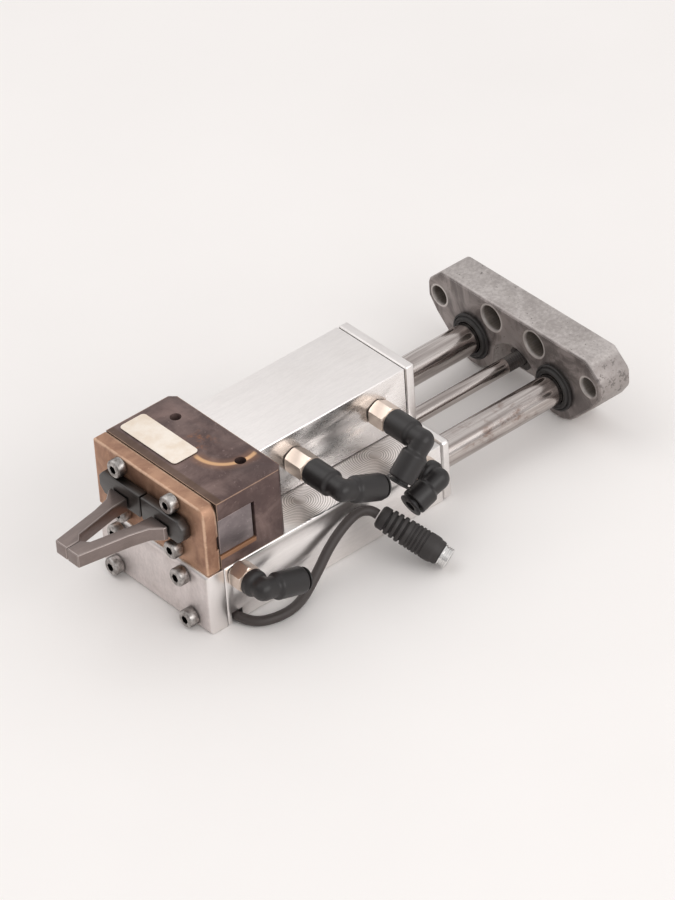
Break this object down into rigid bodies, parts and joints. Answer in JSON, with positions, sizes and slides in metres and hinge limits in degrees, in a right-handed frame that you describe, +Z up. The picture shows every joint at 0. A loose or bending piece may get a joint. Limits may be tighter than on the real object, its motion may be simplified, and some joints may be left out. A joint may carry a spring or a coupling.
{
  "type": "pneumatic gripper",
  "caption": "Parallel gripper with long V-shaped fingers on an aluminium guided stroke unit, with a yoke on two guide rods and a piston rod, push-in elbows and a sensor plug.",
  "frame": {"origin": "middle of the lower block's underside", "axes": "+X from the fingers to the yoke along the stroke, +Y across the fingers away from the fittings, +Z up"},
  "size_m": [0.2204, 0.1091, 0.0542],
  "materials": {
    "bare_aluminium": "milled, lightly scratched",
    "cast_aluminium": "rough, blasted",
    "aged_bronze_anodising": "mottled dark bronze, worn edges",
    "bright_bronze_anodising": "brushed bronze",
    "ground_steel": "ground and polished",
    "blackened_tool_steel": "blackened",
    "milled_finger_steel": "milled, satin",
    "zinc_plated_steel": "zinc plated",
    "nickelled_brass": "nickel plated, satin",
    "bearing_bronze": "turned",
    "black_plastic": "moulded, satin",
    "black_rubber": "matt",
    "label_paper": "blank paper label",
    "gold_contact": "gold plated"
  },
  "bodies": {
    "base": {"stroke_body": "bare_aluminium", "front_cover": "bare_aluminium", "rear_cover": "bare_aluminium", "jaw_cylinder": "bare_aluminium", "jaw_cylinder_cap": "bare_aluminium", "gripper_housing": "aged_bronze_anodising", "gripper_plate": "bright_bronze_anodising", "gripper_side_cover": "blackened_tool_steel", "front_screw_1": "zinc_plated_steel", "front_screw_2": "zinc_plated_steel", "front_screw_3": "zinc_plated_steel", "front_screw_4": "zinc_plated_steel", "head_screw_1": "zinc_plated_steel", "head_screw_2": "zinc_plated_steel", "head_screw_3": "zinc_plated_steel", "head_screw_4": "zinc_plated_steel", "connector_ring": "nickelled_brass", "fitting_a_stem": "nickelled_brass", "fitting_b_stem": "nickelled_brass", "fitting_c_stem": "nickelled_brass", "fitting_d_stem": "nickelled_brass", "guide_bush_left": "bearing_bronze", "guide_bush_right": "bearing_bronze", "rod_gland": "bearing_bronze", "proximity_sensor": "black_plastic", "connector_insert": "black_plastic", "sensor_cable": "black_rubber", "connector_body": "black_rubber", "blank_label": "label_paper", "connector_pin_1": "gold_contact", "connector_pin_2": "gold_contact", "connector_pin_3": "gold_contact"},
    "carriage": {"yoke": "cast_aluminium", "guide_rod_left": "ground_steel", "guide_rod_right": "ground_steel", "piston_rod": "ground_steel", "stroke_piston": "bare_aluminium", "stroke_piston_seal": "black_rubber", "rod_lock_nut": "zinc_plated_steel", "rod_bumper_left": "black_rubber", "rod_bumper_right": "black_rubber"},
    "left_jaw": {"jaw_left": "blackened_tool_steel", "finger_left": "milled_finger_steel"},
    "right_jaw": {"jaw_right": "blackened_tool_steel", "finger_right": "milled_finger_steel"},
    "wedge": {"jaw_wedge": "ground_steel", "jaw_piston": "bare_aluminium", "jaw_piston_seal": "black_rubber"},
    "elbow_a": {"fitting_a_elbow": "black_plastic"},
    "collet_a": {"fitting_a_collet": "black_plastic"},
    "elbow_b": {"fitting_b_elbow": "black_plastic"},
    "collet_b": {"fitting_b_collet": "black_plastic"},
    "elbow_c": {"fitting_c_elbow": "black_plastic"},
    "collet_c": {"fitting_c_collet": "black_plastic"},
    "elbow_d": {"fitting_d_elbow": "black_plastic"},
    "collet_d": {"fitting_d_collet": "black_plastic"}
  },
  "joints": [
    {"name": "stroke", "type": "slide", "parent": "base", "child": "carriage", "axis": [1, 0, 0], "range_m": [-0.05, 0]},
    {"name": "left_jaw_slide", "type": "slide", "parent": "base", "child": "left_jaw", "axis": [0, 1, 0], "range_m": [0, 0.005]},
    {"name": "right_jaw_slide", "type": "slide", "parent": "base", "child": "right_jaw", "axis": [0, 1, 0], "range_m": [-0.005, 0]},
    {"name": "wedge_slide", "type": "slide", "parent": "base", "child": "wedge", "axis": [1, 0, 0], "range_m": [-0.01, 0]},
    {"name": "elbow_a_swivel", "type": "hinge", "parent": "base", "child": "elbow_a", "pos_m": [-0.0008, -0.039, 0.0384], "axis": [0, -1, 0], "range_deg": [-15, 60]},
    {"name": "collet_a_press", "type": "slide", "parent": "elbow_a", "child": "collet_a", "axis": [0.9135, 0, -0.4067], "range_m": [-0.0008, 0], "stiffness_N_per_m": 300},
    {"name": "elbow_b_swivel", "type": "hinge", "parent": "base", "child": "elbow_b", "pos_m": [0.038, -0.0373, 0.0384], "axis": [0, -1, 0], "range_deg": [-60, 8]},
    {"name": "collet_b_press", "type": "slide", "parent": "elbow_b", "child": "collet_b", "axis": [-0.7071, 0, -0.7071], "range_m": [-0.0008, 0], "stiffness_N_per_m": 300},
    {"name": "elbow_c_swivel", "type": "hinge", "parent": "base", "child": "elbow_c", "pos_m": [0.0418, -0.0398, 0.0207], "axis": [0, -1, 0], "range_deg": [-10, 3]},
    {"name": "collet_c_press", "type": "slide", "parent": "elbow_c", "child": "collet_c", "axis": [-0.9455, 0, -0.3256], "range_m": [-0.0008, 0], "stiffness_N_per_m": 300},
    {"name": "elbow_d_swivel", "type": "hinge", "parent": "base", "child": "elbow_d", "pos_m": [-0.0422, -0.0438, 0.0207], "axis": [0, -1, 0], "range_deg": [-8, 60]},
    {"name": "collet_d_press", "type": "slide", "parent": "elbow_d", "child": "collet_d", "axis": [0.9563, 0, -0.2924], "range_m": [-0.0008, 0], "stiffness_N_per_m": 300}
  ],
  "couplings": [
    {"joint": "right_jaw_slide", "follows": "left_jaw_slide", "ratio": -1},
    {"joint": "wedge_slide", "follows": "left_jaw_slide", "ratio": -2}
  ]
}
